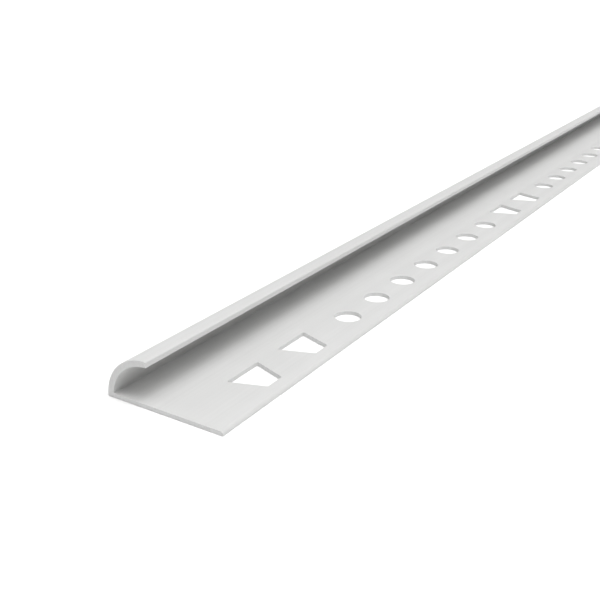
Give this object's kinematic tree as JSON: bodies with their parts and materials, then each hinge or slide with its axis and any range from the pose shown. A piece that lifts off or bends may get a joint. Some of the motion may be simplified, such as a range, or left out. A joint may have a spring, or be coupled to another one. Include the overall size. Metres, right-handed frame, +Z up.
{
  "type": "tile edge trim",
  "caption": "Round-edge tile trim: a straight extruded plastic bar with a quarter-round wall and lip over a flat leg punched with anchor slots and round holes.",
  "frame": {"origin": "middle of the bar's box, on the underside of the leg", "axes": "+X along the bar, +Y from the free edge of the leg to the rounded wall, +Z up from the leg to the lip"},
  "size_m": [2.5, 0.0292, 0.0104],
  "materials": {
    "pvc": "matte"
  },
  "bodies": {
    "root": {"trim_profile": "pvc"}
  },
  "joints": []
}
